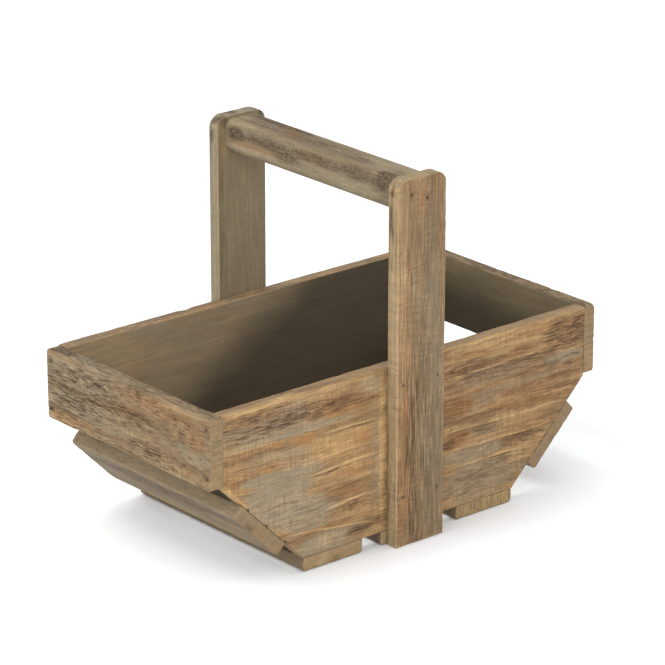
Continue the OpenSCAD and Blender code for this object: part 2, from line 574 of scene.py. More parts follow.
class WoodFields:
    """The relief and the colour masks of one plank, worked out at each of its points."""

    LAYERS = ("tones", "relief", "zones", "faces")

    def __init__(
        self, plank: Plank, place: Array, edge: Array, normals: Array, joined: Array
    ) -> None:
        """Works out every field.

        Args:
            plank: the plank and its marks.
            place: its points, along, across and through.
            edge: each point's distance to the nearest arris.
            normals: the outward direction at each point.
            joined: how close each point is to a joint.
        """
        self.plank = plank
        self.joined = joined.max(1)
        self.noise = Noise(plank.grain.seed)
        self.edge = edge
        middle = sum(plank.through) / 2
        half = (plank.through[1] - plank.through[0]) / 2
        self.side = np.clip((place[:, 2] - middle) / (0.6 * half), -1.0, 1.0)
        self.end_face = ramp(np.abs(normals[:, 0]), 0.5, 0.85)
        self.narrow = ramp(np.abs(normals[:, 1]), 0.5, 0.85)
        self.inward = ramp(-self.side, 0.3, 0.9) * (1.0 - self.narrow) * (1.0 - self.end_face)
        self.bent = self._bend(place)
        self._tones(place)
        self._relief(place)

    def layers(self) -> dict[str, Array]:
        """The masks that the shader reads, by their names on the mesh."""
        return {name: getattr(self, name) for name in self.LAYERS}

    def _bend(self, place: Array) -> Array:
        """The places in the straight tree, before slow wander and knots bent its grain."""
        grain = self.plank.grain
        bent = place.copy()
        slow = self.noise.at(place, (150.0, 60.0, 60.0), 3.1)
        quick = self.noise.at(place, (38.0, 14.0, 14.0), 9.7)
        bent[:, 1] += grain.wander * slow + 0.16 * grain.wander * quick
        wild = self.noise.at(place, (9.0, 6.5, 9.0), 4.9)
        wild = wild + 0.5 * self.noise.at(place, (4.5, 3.0, 5.0), 1.1)
        for swirl in self.plank.swirls:
            far = (place[:, 0] - swirl.along) / swirl.reach
            side = (place[:, 1] - swirl.across) / swirl.spread
            bent[:, 1] += swirl.throw * wild * np.exp(-far * far - side * side)
        for knot in self.plank.knots:
            far = (place[:, 0] - knot.along) / (2.4 * knot.size)
            off = bent[:, 1] - knot.across
            squeeze = (1.5 * knot.size) ** 2 * np.exp(-far * far)
            inside = off * off - squeeze
            bent[:, 1] = knot.across + np.sign(off) * np.sqrt(np.maximum(inside, 0.0))
        return bent

    def _weight(self, face: Face) -> Array:
        """How much a mark on that face counts at each point."""
        if face is Face.BOTH:
            return np.ones(len(self.side), np.float32)
        return ramp(self.side * face.value, -0.4, 0.5)

    def _tones(self, place: Array) -> None:
        """Gathers the colour masks from the patches and streaks."""
        plank, noise = self.plank, self.noise
        stray = noise.at(self.bent, (26.0, 9.0, 9.0), 1.3)
        drift = noise.at(self.bent, (34.0, 4.5, 6.0), 5.9)
        fibre = noise.at(self.bent, (45.0, 1.9, 1.9), 8.2)
        wander = noise.at(place, (40.0, 25.0, 25.0), 2.7)
        broken = ramp(fibre, -0.55, 0.35)
        outer = self._weight(Face.OUTER)
        grey, cream, brown = Tone.GREY.value, Tone.CREAM.value, Tone.BROWN.value
        tones = np.zeros((len(place), len(Tone)), np.float32)
        for streak in plank.streaks:
            mask = streak.mask(place, wander) * outer
            tones[:, cream] = np.maximum(tones[:, cream], mask)
            below = streak.mask(place, wander, -1.5 * streak.width) * outer
            tones[:, brown] = np.maximum(tones[:, brown], 0.5 * below * broken)
        grain = plank.grain
        aged = grain.inner_grey * self.inward * (0.85 + 0.3 * drift)
        tones[:, grey] = np.maximum(tones[:, grey], aged)
        mottle = self.narrow * (0.75 + 0.5 * stray)
        for row, share in ((grey, grain.edge_grey), (brown, grain.edge_brown)):
            tones[:, row] = np.maximum(tones[:, row] * (1.0 - self.narrow), share * mottle)
        for patch in plank.patches:
            mask = patch.mask(place, stray, drift)
            if patch.deep is None:
                mask = mask * self._weight(patch.face) * (1.0 - self.narrow)
            row = patch.tone.value
            if patch.tone is Tone.ROUGH:
                tones[:, row] += mask
            else:
                solid = 0.85 if patch.deep else SOLID[patch.tone]
                mask = np.clip(mask * (solid + 1.2 * (1.0 - solid) * broken), 0.0, 1.0)
                tones[:, row] = 1.0 - (1.0 - tones[:, row]) * (1.0 - mask)
        self.fibre = fibre
        self.brushed = tones[:, Tone.ROUGH.value]
        self.tones = np.clip(tones[:, :4], 0.0, 1.0)

    def _relief(self, place: Array) -> None:
        """Works out how deep the surface is cut, and the masks that go with it."""
        plank, noise = self.plank, self.noise
        grain, bent = plank.grain, self.bent
        heart = np.hypot(
            bent[:, 1] - sum(plank.across) / 2 - grain.heart_across,
            bent[:, 2] - sum(plank.through) / 2 - grain.heart_through,
        )
        heart = heart + 1.6 * noise.at(place, (70.0, 30.0, 30.0), 6.1)
        turn = heart / grain.ring_gap
        within = turn - np.floor(turn)
        late = ramp(within, 0.35, 0.95) * ramp(within, 1.0, 0.95)
        rough = np.clip(
            grain.rough
            + 0.55 * noise.at(place, (60.0, 13.0, 20.0), 4.4)
            + 0.35 * self.tones[:, Tone.BROWN.value]
            - 0.15 * self.tones[:, Tone.GREY.value]
            - 0.35 * self.tones[:, Tone.CREAM.value]
            - 0.5 * self.inward
            - 0.35 * self.end_face
            + self.brushed,
            0.0,
            1.0,
        )
        fine = noise.at(bent, (14.0, 0.95, 1.15), 0.4)
        broad = noise.at(bent, (24.0, 2.3, 2.6), 7.7)
        cut = ramp(fine + 0.35 * broad, 0.55 - 0.42 * rough, 0.95 - 0.38 * rough)
        cut = cut * (0.35 + 0.65 * rough) * (1.0 - 0.85 * self.end_face) * (1.0 - 0.5 * self.inward)
        wander = noise.at(place, (18.0, 12.0, 12.0), 3.3)
        crack = open_depth = pit = pit_depth = broken = np.zeros(len(place), np.float32)
        outer = self._weight(Face.OUTER)
        open_part = ramp(noise.at(bent, (15.0, 7.0, 7.0), 6.6), -0.45, 0.2)
        for split in plank.cracks:
            line = Streak(split.path, split.width, 1.0, split.fade)
            mask = line.mask(place, 1.5 * wander) * outer * open_part
            crack = np.maximum(crack, mask)
            open_depth = np.maximum(open_depth, mask * split.depth)
        outer = ramp(self.side, 0.2, 0.9)
        for hole in plank.pits:
            far, side = place[:, 0] - hole.along, place[:, 1] - hole.across
            near = np.hypot(far, 1.15 * side) * (1.0 + 0.12 * wander)
            sunk = ramp(near, hole.radius * 1.2, hole.radius * 0.75) * hole.depth * outer
            pit_depth = np.maximum(pit_depth, sunk)
            halo = ramp(np.hypot(0.55 * far, side), 3.4, 1.0)
            stain = np.maximum(ramp(near, hole.radius * 1.25, hole.radius * 0.75), 0.3 * halo)
            pit = np.maximum(pit, outer * hole.stain * stain)
        for chip in plank.chips:
            gap = np.linalg.norm(place - np.array([chip.along, chip.across, chip.through]), axis=1)
            near = ramp(gap * (1.0 + 0.25 * wander), chip.radius, 0.25 * chip.radius)
            broken = np.maximum(broken, near * chip.depth)
            pit = np.maximum(pit, near * chip.dark)
        bow = 0.14 * (1.0 + noise.at(place, (130.0, 55.0, 55.0), 1.9))
        lump = 0.10 * (1.0 + noise.at(place, (14.0, 6.0, 6.0), 2.2))
        close = np.exp(-self.edge / 1.6)
        bite = ramp(noise.at(place, (11.0, 7.0, 7.0), 5.5), 0.1, 0.75)
        worn = close * grain.arris_wear * (0.25 + 1.3 * bite)
        patchy = 1.5 * noise.at(place, (24.0, 12.0, 12.0), 0.9) + 0.6 * self.fibre
        rub = ramp(self.edge + patchy, 1.9, 0.0) * (1.0 - 0.75 * self.end_face) * (1.0 - self.joined)
        ridge = (1.0 - late) * grain.ring_depth * (0.5 + 0.5 * rough) * (1.0 - 0.8 * self.end_face)
        depth = bow + lump + worn + ridge + cut * grain.groove_depth + open_depth
        depth = depth - 0.12 * self.tones[:, Tone.CREAM.value]
        self.depth = np.maximum(depth + broken + pit_depth, LEAST_CUT)
        line = np.clip(cut, 0.0, 1.0)
        self.relief = np.stack([line, within, rub, np.clip(pit, 0.0, 1.0)], 1)
        # Painted shade on the inner faces: darker below a line and towards one end, where shade falls
        # inside the basket.
        level = place[:, 1] + 9.0 * noise.at(place, (45.0, 22.0, 22.0), 8.8)
        level = level - grain.painted_shade_rise * place[:, 0]
        low = ramp(level, grain.painted_shade_line, grain.painted_shade_line - PAINTED_SHADE_FADE)
        painted_shade = grain.inner_painted_shade * self.inward * (0.05 + 0.95 * low)
        plain = np.maximum(self.end_face, grain.edge_plain * self.narrow)
        self.zones = np.stack([rough, painted_shade, plain, np.clip(crack, 0.0, 1.0)], 1)
        smooth, spare = grain.inner_calm * self.inward, np.ones_like(rough)
        self.faces = np.stack([self.end_face, smooth, spare, spare], 1)


# Finishes


class Nodes:
    """A short way to write a material's node tree."""

    def __init__(self, name: str) -> None:
        """Starts an empty material of that name."""
        self.material = bpy.data.materials.new(name)
        self.material.use_nodes = True
        self.tree = self.material.node_tree
        self.tree.nodes.clear()

    def add(self, kind: str, settings: dict | None = None, **inputs: object) -> bpy.types.Node:
        """Adds a node.

        Args:
            kind: the node's type name.
            settings: values for its own properties.
            inputs: values or sockets for its inputs, by socket name with underscores for spaces.

        Returns:
            The node.
        """
        node = self.tree.nodes.new(kind)
        for key, value in (settings or {}).items():
            setattr(node, key, value)
        for key, value in inputs.items():
            self.put(node.inputs[key.replace("_", " ")], value)
        return node

    def put(self, socket: Socket, value: object) -> None:
        """Links a socket, or sets its value."""
        if isinstance(value, Socket):
            self.tree.links.new(value, socket)
        else:
            socket.default_value = value

    def mix(self, share: object, first: object, second: object, blend: str = "MIX") -> Socket:
        """Mixes two colours."""
        node = self.tree.nodes.new("ShaderNodeMix")
        node.data_type = "RGBA"
        node.blend_type = blend
        self.put(node.inputs["Factor"], share)
        self.put(node.inputs[6], first)
        self.put(node.inputs[7], second)
        return node.outputs[2]

    def cover(self, base: object, *layers: tuple[object, Shade]) -> Socket:
        """Lays screen colours over a base, each by its own share."""
        for share, colour in layers:
            base = self.mix(share, base, paint(*colour))
        return base

    def sum(self, how: str, first: object, second: object = 0.0, third: object = 0.0) -> Socket:
        """One step of arithmetic on numbers."""
        node = self.tree.nodes.new("ShaderNodeMath")
        node.operation = how
        for socket, value in zip(node.inputs, (first, second, third)):
            self.put(socket, value)
        return node.outputs[0]

    def times(self, *parts: object) -> Socket:
        """The product of some numbers."""
        total = parts[0]
        for part in parts[1:]:
            total = self.sum("MULTIPLY", total, part)
        return total

    def fit(
        self, value: object, low: float, high: float, to_low: object = 0.0, to_high: float = 1.0
    ) -> Socket:
        """Maps a number from one range to another and holds it there."""
        node = self.add(
            "ShaderNodeMapRange", {"clamp": True},
            Value=value, From_Min=low, From_Max=high, To_Min=to_low, To_Max=to_high,
        )
        return node.outputs[0]

    def along(self, share: object, start: float, end: float) -> Socket:
        """The number that lies that share of the way from start to end."""
        return self.fit(share, 0.0, 1.0, start, end)

    def noise(self, place: object, scale: Triple, detail: float = 3.0, rough: float = 0.55) -> Socket:
        """Noise with its own scale along each direction, as a number around a half."""
        spread = self.add("ShaderNodeMapping", Vector=place, Scale=scale).outputs[0]
        return self.add(
            "ShaderNodeTexNoise", Vector=spread, Scale=1.0, Detail=detail, Roughness=rough
        ).outputs[0]

    def surface(self, **inputs: object) -> bpy.types.Material:
        """Ends the tree with its surface, which takes these inputs, and gives the material."""
        shader = self.add("ShaderNodeBsdfPrincipled", **inputs)
        self.add("ShaderNodeOutputMaterial", Surface=shader.outputs[0])
        return self.material


@dataclass(frozen=True)
class WoodFinish:
    """Old brushed pine: the colours of its parts, as screen colours, and how strongly they show."""

    name: str
    light: Shade = (193, 157, 110)
    dark: Shade = (140, 109, 75)
    grey: Shade = (163, 146, 118)
    warm: Shade = (176, 124, 74)
    cream: Shade = (226, 188, 130)
    brown: Shade = (109, 80, 55)
    groove: Shade = (82, 63, 45)
    rub: Shade = (200, 162, 112)
    pit: Shade = (76, 59, 41)
    # Painted shade: the dark colour laid on the inner faces towards the bottom, where shade falls inside
    # the basket.
    painted_shade: Shade = (80, 71, 56)
    end_grain: Shade = (165, 142, 106)
    ring_share: float = 0.4
    rub_share: float = 0.7
    groove_share: float = 0.3
    fine_lines: float = 0.55
    pale_lines: float = 0.2
    saw_marks: float = 0.85
    strands: float = 1.0
    short: float = 1.0
    end_checks: float = 0.7
    end_warm: float = 0.3
    speckled: bool = False
    weight: float = 0.72

    def material(self) -> bpy.types.Material:
        """The finish as a material, made once."""
        made = bpy.data.materials.get(self.name)
        if made is not None:
            return made
        n = Nodes(self.name)
        masks = []
        for layer in WoodFields.LAYERS:
            node = n.add("ShaderNodeAttribute", {"attribute_name": layer})
            parts = n.add("ShaderNodeSeparateColor", Color=node.outputs["Color"])
            masks.append([*parts.outputs, node.outputs["Alpha"]])
        (grey, warm, cream, brown), (cut, ring, rub, pit) = masks[:2]
        (rough, painted_shade, plain, crack), (end, smooth, *_) = masks[2:]
        place = n.add("ShaderNodeAttribute", {"attribute_name": "grain_place"}).outputs["Vector"]
        calm = n.sum("MAXIMUM", n.times(end, 0.6), n.sum("MAXIMUM", painted_shade, smooth))

        board = n.noise(place, (11.0, 150.0, 150.0), 3.0)
        fibre = n.noise(place, (95.0 * self.short, 1150.0, 1150.0), 2.0, 0.6)
        strand = n.noise(place, (60.0 * self.short, 560.0, 560.0), 3.0, 0.6)
        hair = n.noise(place, (620.0, 1700.0, 1700.0), 2.0, 0.6)
        cloud = n.noise(place, (26.0, 48.0, 48.0), 3.0)
        saw = n.noise(place, (470.0, 60.0, 60.0), 2.0)
        split = n.noise(place, (2.0, 520.0, 60.0), 5.0, 0.8)
        speck = n.noise(place, (420.0, 560.0, 560.0), 2.0)
        tick = n.noise(place, (640.0, 170.0, 170.0), 1.0)
        comb = n.noise(place, (900.0, 110.0, 110.0), 3.0, 0.6)
        busy = n.sum("MINIMUM", n.sum("MULTIPLY_ADD", brown, 0.45, rough), 1.0)
        lined = n.sum("MULTIPLY_ADD", busy, 0.11, fibre)

        if self.speckled:
            stain = n.times(n.fit(comb, 0.38, 0.58, 0.72, 1.0), n.fit(speck, 0.38, 0.56, 0.6, 1.0))
        else:
            stain = n.fit(fibre, 0.42, 0.56, n.fit(rough, 0.3, 0.8, 0.75, 0.45), 1.0)
        base = n.cover(
            n.mix(n.fit(board, 0.36, 0.64), paint(*self.dark), paint(*self.light)),
            (n.times(n.sum("POWER", ring, 2.5), self.ring_share, n.along(calm, 1.0, 0.3)), self.warm),
            (grey, self.grey),
            (warm, self.warm),
            (n.times(brown, stain), self.brown),
            (n.times(cream, n.fit(fibre, 0.3, 0.6, 1.0, 0.45)), self.cream),
        )
        checks = n.times(n.fit(split, 0.47, 0.62), n.fit(cloud, 0.38, 0.6, 1.0, 0.35), end)
        butt = n.cover(
            paint(*self.end_grain),
            (n.times(n.sum("POWER", ring, 3.0), 0.3), self.dark),
            (n.times(n.fit(cloud, 0.44, 0.62), self.end_warm), self.warm),
            (n.times(checks, self.end_checks), self.brown),
            (n.times(brown, n.fit(speck, 0.4, 0.6, 0.6, 1.0)), self.brown),
            (cream, self.cream),
        )
        worn = n.fit(strand, 0.35, 0.6, self.rub_share * 0.45, self.rub_share)
        thin = n.along(busy, self.fine_lines * 0.5, min(1.0, self.fine_lines * 1.3))
        thin = n.times(n.fit(lined, 0.59, 0.68), thin, n.along(calm, 1.0, 0.12))
        ticks = n.times(n.fit(tick, 0.60, 0.72, 0.0, 0.5), n.fit(cloud, 0.48, 0.60))
        base = n.cover(
            n.mix(plain, base, butt),
            (n.times(rub, worn), self.rub),
            (n.times(cut, n.along(calm, self.groove_share, self.groove_share * 0.4)), self.groove),
            (thin, self.groove),
            (n.times(n.fit(fibre, 0.44, 0.34), n.along(calm, self.pale_lines, 0.04)), self.cream),
            (n.times(ticks, n.times(n.sum("SUBTRACT", 1.0, calm), grey)), self.groove),
            (n.times(crack, 0.75), self.groove),
            # painted shade inside the basket
            (painted_shade, self.painted_shade),
            (pit, self.pit),
        )

        shade = n.fit(strand, 0.3, 0.7, 1.0 - 0.14 * self.strands, 1.0 + 0.13 * self.strands)
        shade = n.times(
            shade, n.fit(hair, 0.25, 0.75, 0.82, 1.18), n.fit(cloud, 0.32, 0.68, 0.92, 1.07)
        )
        shade = n.sum("MULTIPLY_ADD", n.sum("SUBTRACT", shade, 1.0), n.along(calm, 1.0, 0.4), 1.0)
        sawn = n.times(n.sum("SUBTRACT", saw, 0.5), n.fit(cloud, 0.42, 0.58, 0.2, self.saw_marks))
        sawn = n.times(sawn, n.along(calm, 1.0, 0.12))
        shade = n.times(shade, n.sum("ADD", sawn, 1.0), self.weight)
        even = n.add("ShaderNodeCombineColor", Red=shade, Green=shade, Blue=shade).outputs[0]
        height = n.sum("ADD", n.times(fibre, -0.7), n.times(hair, 0.3))
        bump = n.add("ShaderNodeBump", Height=height, Strength=0.45, Distance=0.0007)
        return n.surface(
            Base_Color=n.mix(1.0, base, even, "MULTIPLY"),
            Roughness=n.fit(n.sum("ADD", cut, n.times(fibre, 0.5)), 0.2, 1.2, 0.70, 0.93),
            Normal=bump.outputs[0],
            Specular_IOR_Level=0.22,
        )


@dataclass(frozen=True)
class SteelFinish:
    """Dull nail steel that has darkened and begun to rust."""

    name: str = "rusty_nail_steel"
    bare: Shade = (74, 66, 60)
    rust: Shade = (92, 58, 40)

    def material(self) -> bpy.types.Material:
        """The finish as a material."""
        n = Nodes(self.name)
        place = n.add("ShaderNodeTexCoord").outputs["Object"]
        blotch = n.noise(place, (900.0, 900.0, 900.0), 4.0, 0.65)
        grit = n.noise(place, (5200.0, 5200.0, 5200.0), 3.0, 0.6)
        share = n.fit(n.sum("ADD", blotch, n.times(grit, 0.3)), 0.5, 0.78)
        bump = n.add("ShaderNodeBump", Height=grit, Strength=0.3, Distance=0.0002)
        return n.surface(
            Base_Color=n.mix(share, paint(*self.bare), paint(*self.rust)),
            Roughness=n.along(share, 0.45, 0.9),
            Metallic=n.along(share, 0.8, 0.05),
            Normal=bump.outputs[0],
        )


@dataclass(frozen=True)
class FloorFinish:
    """Matt white studio floor, faintly lit from below as on a light table."""

    name: str = "studio_floor"
    colour: Shade = (246, 248, 250)
    glow: float = 0.05

    def material(self) -> bpy.types.Material:
        """The finish as a material."""
        n = Nodes(self.name)
        place = n.add("ShaderNodeTexCoord").outputs["Object"]
        haze = n.noise(place, (3.0, 3.0, 3.0), 2.0)
        dimmer = [part - 1 for part in self.colour]
        return n.surface(
            Base_Color=n.mix(haze, paint(*dimmer), paint(*self.colour)),
            Roughness=0.9,
            Specular_IOR_Level=0.1,
            Emission_Color=WHITE,
            Emission_Strength=self.glow,
        )


SIDE_WOOD = WoodFinish("side_board_pine", groove=(92, 66, 45), brown=(110, 79, 53))
END_WOOD = WoodFinish(
    "end_board_pine", light=(168, 143, 108), dark=(136, 113, 82), grey=(156, 143, 115),
    warm=(166, 120, 78), brown=(106, 83, 58), rub=(172, 151, 118), groove=(88, 66, 45),
    fine_lines=0.78, ring_share=0.2, groove_share=0.42,
)
SLAT_WOOD = WoodFinish(
    "slat_pine", light=(152, 134, 107), dark=(130, 112, 87), grey=(144, 131, 107),
    warm=(150, 120, 84), brown=(112, 93, 78), rub=(168, 145, 108), end_grain=(158, 134, 102),
    ring_share=0.12, fine_lines=0.2, pale_lines=0.08, strands=0.7, rub_share=0.4, saw_marks=0.4,
    groove_share=0.15, end_checks=0.35, end_warm=0.6,
)
FLOOR_SLAT_WOOD = replace(
    SLAT_WOOD, name="floor_slat_pine", end_grain=(190, 164, 124), brown=(108, 84, 58), end_checks=0.2,
)
CHECKED_SLAT_WOOD = replace(
    FLOOR_SLAT_WOOD, name="checked_slat_pine", end_grain=(188, 158, 112), end_checks=0.8,
)
POST_WOOD = WoodFinish(
    "front_post_pine", light=(161, 132, 96), dark=(144, 117, 84), grey=(143, 125, 98),
    warm=(166, 119, 74), brown=(103, 80, 55), cream=(210, 178, 134), ring_share=0.04,
    fine_lines=0.6, pale_lines=0.4, strands=0.6, short=0.55, groove_share=0.15,
    end_grain=(176, 157, 122), end_warm=0.1,
)
BACK_POST_WOOD = WoodFinish(
    "back_post_pine", light=(161, 144, 113), dark=(139, 122, 93), grey=(152, 138, 110),
    warm=(154, 126, 90), brown=(100, 84, 68), rub=(170, 155, 124), ring_share=0.08,
    fine_lines=0.25, pale_lines=0.15, saw_marks=0.3, end_grain=(164, 152, 126), end_warm=0.1,
    short=0.5,
)
RAIL_WOOD = WoodFinish(
    "rail_pine", light=(163, 147, 117), dark=(145, 129, 101), grey=(155, 142, 116),
    warm=(164, 124, 84), brown=(86, 66, 48), cream=(200, 180, 140), ring_share=0.08,
    fine_lines=0.25, rub_share=0.2, pale_lines=0.12, saw_marks=0.3, speckled=True,
)


# Where the wood is stained, worn and split


def patches(rows: dict[Tone, tuple]) -> tuple[Patch, ...]:
    """Patches from rows of along, across, half length, half width, strength, tilt and face."""
    return tuple(Patch(tone, *row) for tone, group in rows.items() for row in group)


def stains(rows: dict[Tone, tuple]) -> tuple[Patch, ...]:
    """Patches on narrow faces, from rows of strength, then middle and half size three ways."""
    return tuple(
        Patch(tone, along, across, reach, spread, strength, face=Face.BOTH, deep=(through, thick))
        for tone, group in rows.items()
        for strength, along, reach, across, spread, through, thick in group
    )


def moved(rows: Sequence[Patch], across: float, along: float, turn: float) -> tuple[Patch, ...]:
    """Patches moved across and along the plank, and turned end for end when turn is -1."""
    return tuple(
        replace(row, across=turn * row.across + across, along=turn * row.along + along)
        for row in rows
    )


def streaks(*rows: tuple) -> tuple[Streak, ...]:
    """Cream streaks, from rows of width, strength and points."""
    return tuple(Streak(tuple(path), width, strength) for width, strength, *path in rows)


def cracks(*rows: tuple) -> tuple[Crack, ...]:
    """Cracks, from rows of width, depth and points."""
    return tuple(Crack(tuple(path), width, depth) for width, depth, *path in rows)


GREY, WARM, CREAM, BROWN, ROUGH = Tone.GREY, Tone.WARM, Tone.CREAM, Tone.BROWN, Tone.ROUGH

FRONT_BOARD_PATCHES = patches({
    BROWN: (
        (-160, 143, 30, 5, 0.6), (-146, 133, 46, 8, 0.65), (-76, 132, 34, 9, 0.68), (-46, 127, 14, 6, 0.6),
        (-58, 43, 20, 5, 0.35), (-52, 21, 14, 4.5, 0.95), (110, 84, 92, 62, 0.3), (66, 129, 36, 7.5, 0.62),
        (118, 130, 20, 5, 0.5), (166, 133, 27, 14, 1), (168, 131, 18, 12, 0.9), (76, 118, 36, 6, 0.5),
        (150, 107, 40, 5, 0.5), (130, 121, 40, 3, 0.5), (46, 96, 20, 8, 0.3), (46, 70, 16, 8, 0.66),
        (78, 72, 20, 6, 0.62), (118, 54, 26, 5, 0.6), (80, 28, 50, 16, 0.25),
    ),
    WARM: (
        (-160, 141, 34, 6, 0.4), (-72, 130, 34, 9, 0.6), (-176, 81, 13, 5.5, 0.6, -1),
        (-164, 113.5, 16, 3.6, 0.3), (-136, 113, 10, 3, 0.6), (-107, 111.5, 14, 5, 0.7),
        (-142, 97, 9, 3, 0.6), (-180, 96, 9, 3, 0.7), (-72, 103, 32, 9, 0.3), (-50, 97, 12, 5, 0.6),
        (-62, 73, 26, 5, 0.55), (-60, 55, 19, 4, 0.38), (-95, 33, 22, 2.4, 0.5), (76, 139, 50, 5, 0.35),
        (130, 144, 30, 4.5, 0.45), (116, 131, 16, 6, 0.5), (50, 97, 17, 8, 0.95), (120, 88, 44, 9, 0.35),
        (47, 70, 15, 8, 1), (124, 68, 30, 6, 0.35),
    ),
    GREY: (
        (-148, 132, 46, 12, 0.75), (-40, 138, 11, 7, 0.6), (-125, 119, 62, 2.2, 0.85),
        (-108, 122, 24, 5, 0.7), (-140, 104, 30, 6, 0.45), (-118, 98, 20, 8, 0.4), (-138, 68, 38, 22, 1),
        (-110, 48, 30, 15, 1), (-106, 85, 24, 6, 0.8), (-150, 88, 20, 5, 0.8), (-84, 21, 36, 9, 1),
        (-36, 80, 6, 50, 0.45), (88, 117, 38, 6.5, 0.5), (165, 113, 24, 4, 1), (120, 102.5, 62, 3, 0.55),
        (78, 96, 18, 6, 0.5), (80, 71, 18, 5.5, 0.65), (68, 54, 34, 7, 0.8), (74, 30, 44, 16, 0.8),
    ),
    ROUGH: ((-148, 134, 50, 14, 0.58), (-92, 130, 20, 8, 0.3), (160, 132, 32, 14, 0.5)),
    CREAM: (
        (-179, 82, 13, 5, 1, -1), (-180, 82.5, 11, 4, 1, -1), (-181, 83, 9, 4, 0.9, -1),
        (-42, 139, 9, 6, 0.25), (-84, 145, 48, 4.5, 0.35), (-176, 95.5, 12, 2.4, 0.45),
        (-74, 100, 26, 15, 0.42), (-134, 64, 34, 5, 0.22), (-112, 44, 26, 5, 0.22), (-82, 20, 26, 5, 0.3),
        (-30, 96, 3.6, 52, 1), (-30, 48, 3.4, 32, 0.9), (76, 146, 58, 6, 0.62), (122, 72, 34, 6, 0.28),
        (120, 40, 14, 6, 0.3),
    ),
})
FRONT_BOARD_STREAKS = streaks(
    (2.6, 1, (-188, 148), (-150, 147.8), (-112, 148.4)), (1.6, 0.7, (26, 148.6), (70, 148.2), (120, 148.6)),
    (1.1, 0.45, (-100, 138), (-88, 136), (-78, 135.5)), (1.6, 1, (-104, 79), (-76, 80.5), (-38, 81.8)),
    (1.4, 0.85, (-88, 110.5), (-66, 111), (-34, 110)), (1.2, 0.65, (-96, 91), (-70, 92), (-44, 92)),
    (1.5, 1, (-90, 46.5), (-66, 48.5), (-40, 50.5)),
    (1.3, 0.9, (-126, 35), (-95, 32), (-62, 27.5), (-38, 24)), (1, 0.5, (36, 122), (90, 124), (142, 124.5)),
    (1.1, 0.7, (34, 78), (100, 76.5), (166, 75)), (1.1, 0.7, (40, 61.5), (95, 60.5), (146, 58.5)),
    (1, 0.65, (48, 47), (95, 46), (136, 45)), (0.9, 0.55, (90, 35), (108, 35.5), (122, 36)),
)
FRONT_BOARD_CRACKS = cracks(
    (0.5, 0.4, (-100, 62.6), (-78, 63.6), (-36, 64.6)), (0.5, 0.4, (-84, 60.2), (-60, 61.4), (-38, 62.4)),
    (0.5, 0.3, (-154, 61.5), (-130, 63), (-104, 63)), (0.5, 0.3, (-182, 101.5), (-168, 102), (-156, 101)),
    (0.5, 0.3, (-84, 107.6), (-60, 108.8), (-34, 107.6)), (0.5, 0.3, (-136, 50), (-112, 51), (-92, 49)),
    (0.6, 0.5, (34, 106), (56, 103.6), (66, 101)), (0.5, 0.4, (132, 106), (140, 104), (143, 100.5)),
    (0.6, 0.4, (150, 99), (166, 98.6), (182, 97.6)), (0.7, 0.5, (146, 109), (158, 109.6), (166, 111)),
    (0.7, 0.5, (164, 112), (174, 113.5), (187, 110)), (0.5, 0.4, (64, 73), (80, 71), (92, 66)),
    (0.5, 0.3, (70, 134), (78, 128), (88, 124.5)),
)
BACK_BOARD_PATCHES = patches({
    # The cream patch on the inner face near the left end is a painted pool of light.
    CREAM: ((-168, 118, 74, 40, 0.4, 0, Face.INNER), (-20, 145, 120, 4.5, 0.35)),
    GREY: ((-60, 128, 130, 14, 0.6), (120, 84, 70, 14, 0.7), (20, 54, 90, 12, 0.7), (-40, 24, 70, 9, 0.7)),
    BROWN: ((96, 120, 60, 9, 0.65), (-110, 84, 54, 8, 0.6), (60, 34, 44, 7, 0.5)),
    WARM: ((40, 92, 60, 7, 0.55), (-70, 62, 44, 7, 0.6)),
    ROUGH: ((96, 116, 60, 14, 0.45), (-110, 84, 50, 12, 0.4)),
})
BACK_BOARD_STREAKS = streaks(
    (1.2, 0.8, (-150, 104), (-60, 106), (-28, 104)), (1.2, 0.75, (30, 74), (90, 77), (150, 76)),
    (1.2, 0.75, (-112, 48), (-70, 46), (-30, 47)), (1, 0.6, (34, 108), (110, 104), (180, 105)),
)
BACK_BOARD_CRACKS = cracks(
    (0.6, 0.5, (-186, 116), (-150, 114), (-110, 115)), (0.5, 0.4, (60, 60), (96, 61), (130, 59)),
    (0.6, 0.4, (120, 132), (150, 130), (187, 131)),
)
LEFT_END_PATCHES = patches({
    GREY: ((62, 134, 46, 16, 0.75), (66, 112, 40, 8, 0.8), (-82, 116, 24, 7, 0.55), (20, 104, 24, 4, 0.45)),
    ROUGH: ((62, 126, 52, 22, 0.5),),
    BROWN: (
        (40, 122.5, 60, 3, 0.7), (0, 126.4, 40, 2.6, 0.9), (70, 121, 34, 4, 0.6), (-16, 117, 26, 3.5, 0.5),
        (4, 115, 5, 2.4, 0.8), (-80, 104, 22, 4, 0.6), (-30, 103, 40, 5, 0.4),
    ),
    WARM: (
        (-4, 127, 22, 3, 0.7), (-48, 141, 40, 8, 0.5), (-84, 128, 14, 12, 0.55), (-74, 100, 8, 7, 0.55),
        (76, 98, 34, 4, 0.55),
    ),
    CREAM: ((-60, 146, 34, 3, 0.35), (82, 93, 30, 3, 0.45)),
})
